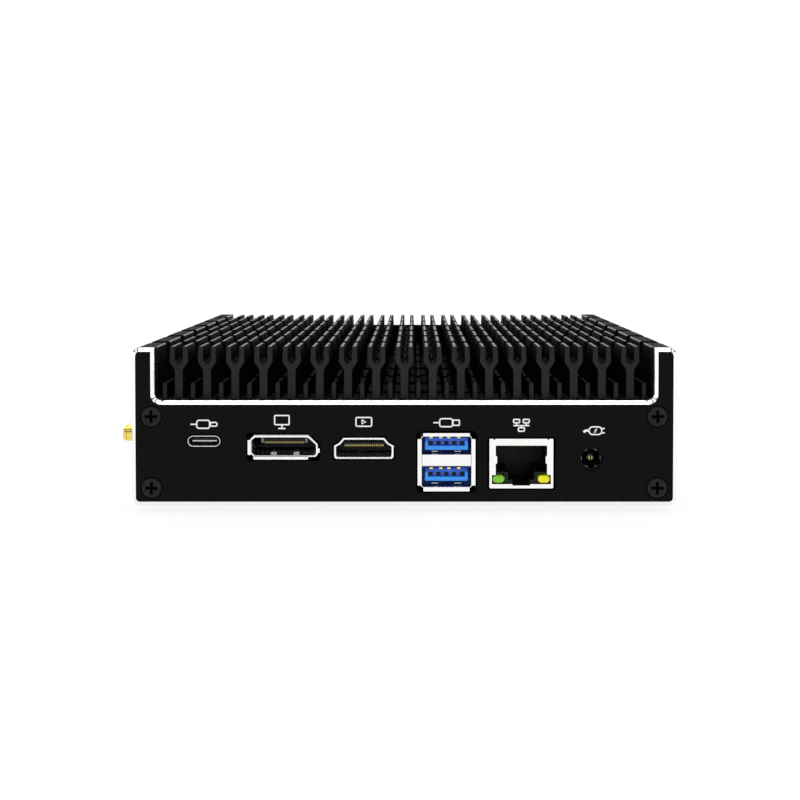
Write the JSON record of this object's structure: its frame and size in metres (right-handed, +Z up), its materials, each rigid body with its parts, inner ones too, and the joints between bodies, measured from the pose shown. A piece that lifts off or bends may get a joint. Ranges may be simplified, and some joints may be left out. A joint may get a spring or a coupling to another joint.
{
  "type": "mini pc",
  "caption": "Fanless mini computer: finned black aluminium case with a port panel, a button panel, side antenna jacks and rubber feet.",
  "frame": {"origin": "middle of the bottom cover's underside, between the feet", "axes": "+X to the right seen from the port side, -Y out of the port panel, +Z up through the fins"},
  "size_m": [0.147, 0.128, 0.0415],
  "materials": {
    "black_anodised": "black anodised, fine matt",
    "black_steel": "black oxide",
    "plated_steel": "nickel plated",
    "gold_plate": "gold plated",
    "rubber": "matt",
    "black_plastic": "satin",
    "blue_plastic": "satin",
    "solder_mask": "glass-fibre laminate with green solder mask",
    "silicon": "polished die on its carrier",
    "silicone_pad": "soft thermal pad",
    "green_lens": "translucent",
    "yellow_lens": "translucent",
    "white_lens": "translucent"
  },
  "bodies": {
    "case": {"antenna_jack_1": "gold_plate", "antenna_jack_2": "gold_plate", "antenna_lead_1": "black_plastic", "antenna_lead_2": "black_plastic", "antenna_nut_1": "gold_plate", "antenna_nut_2": "gold_plate", "audio_jack": "black_plastic", "board_screw_1": "plated_steel", "board_screw_2": "plated_steel", "board_screw_3": "plated_steel", "board_screw_4": "plated_steel", "bottom_cover": "black_anodised", "button_panel": "black_anodised", "button_panel_screw_1": "black_steel", "button_panel_screw_2": "black_steel", "button_panel_screw_3": "black_steel", "button_panel_screw_4": "black_steel", "coin_cell": "plated_steel", "cover_screw_1": "black_steel", "cover_screw_2": "black_steel", "cover_screw_3": "black_steel", "cover_screw_4": "black_steel", "dc_jack_body": "black_plastic", "dc_jack_pin": "gold_plate", "display_port_insert": "black_plastic", "display_port_shell": "plated_steel", "ethernet_jack_insert": "black_plastic", "ethernet_jack_light_green": "green_lens", "ethernet_jack_light_yellow": "yellow_lens", "ethernet_jack_shield": "plated_steel", "hd_video_port_insert": "black_plastic", "hd_video_port_shell": "plated_steel", "heatsink_case": "black_anodised", "io_panel": "black_anodised", "io_panel_screw_1": "black_steel", "io_panel_screw_2": "black_steel", "io_panel_screw_3": "black_steel", "io_panel_screw_4": "black_steel", "mainboard": "solder_mask", "memory_module": "solder_mask", "memory_socket": "black_plastic", "power_button_bezel": "black_anodised", "power_button_spring": "plated_steel", "power_switch": "black_plastic", "processor": "silicon", "rear_usb_stack_insert": "black_plastic", "rear_usb_stack_shell": "plated_steel", "rubber_foot_1": "rubber", "rubber_foot_2": "rubber", "rubber_foot_3": "rubber", "rubber_foot_4": "rubber", "ssd_module": "solder_mask", "status_light_pipe": "white_lens", "thermal_pad": "silicone_pad", "usb_c_port_shell": "plated_steel", "usb_c_port_tongue": "black_plastic", "usb_stack_insert": "blue_plastic", "usb_stack_shell": "plated_steel", "wireless_card": "solder_mask"},
    "power_button": {"power_button": "plated_steel"}
  },
  "joints": [
    {"name": "power_button_press", "type": "slide", "parent": "case", "child": "power_button", "axis": [0, -1, 0], "range_m": [0, 0.001], "stiffness_N_per_m": 300, "springref_m": -0.001, "deforming": ["power_button_spring"]}
  ]
}
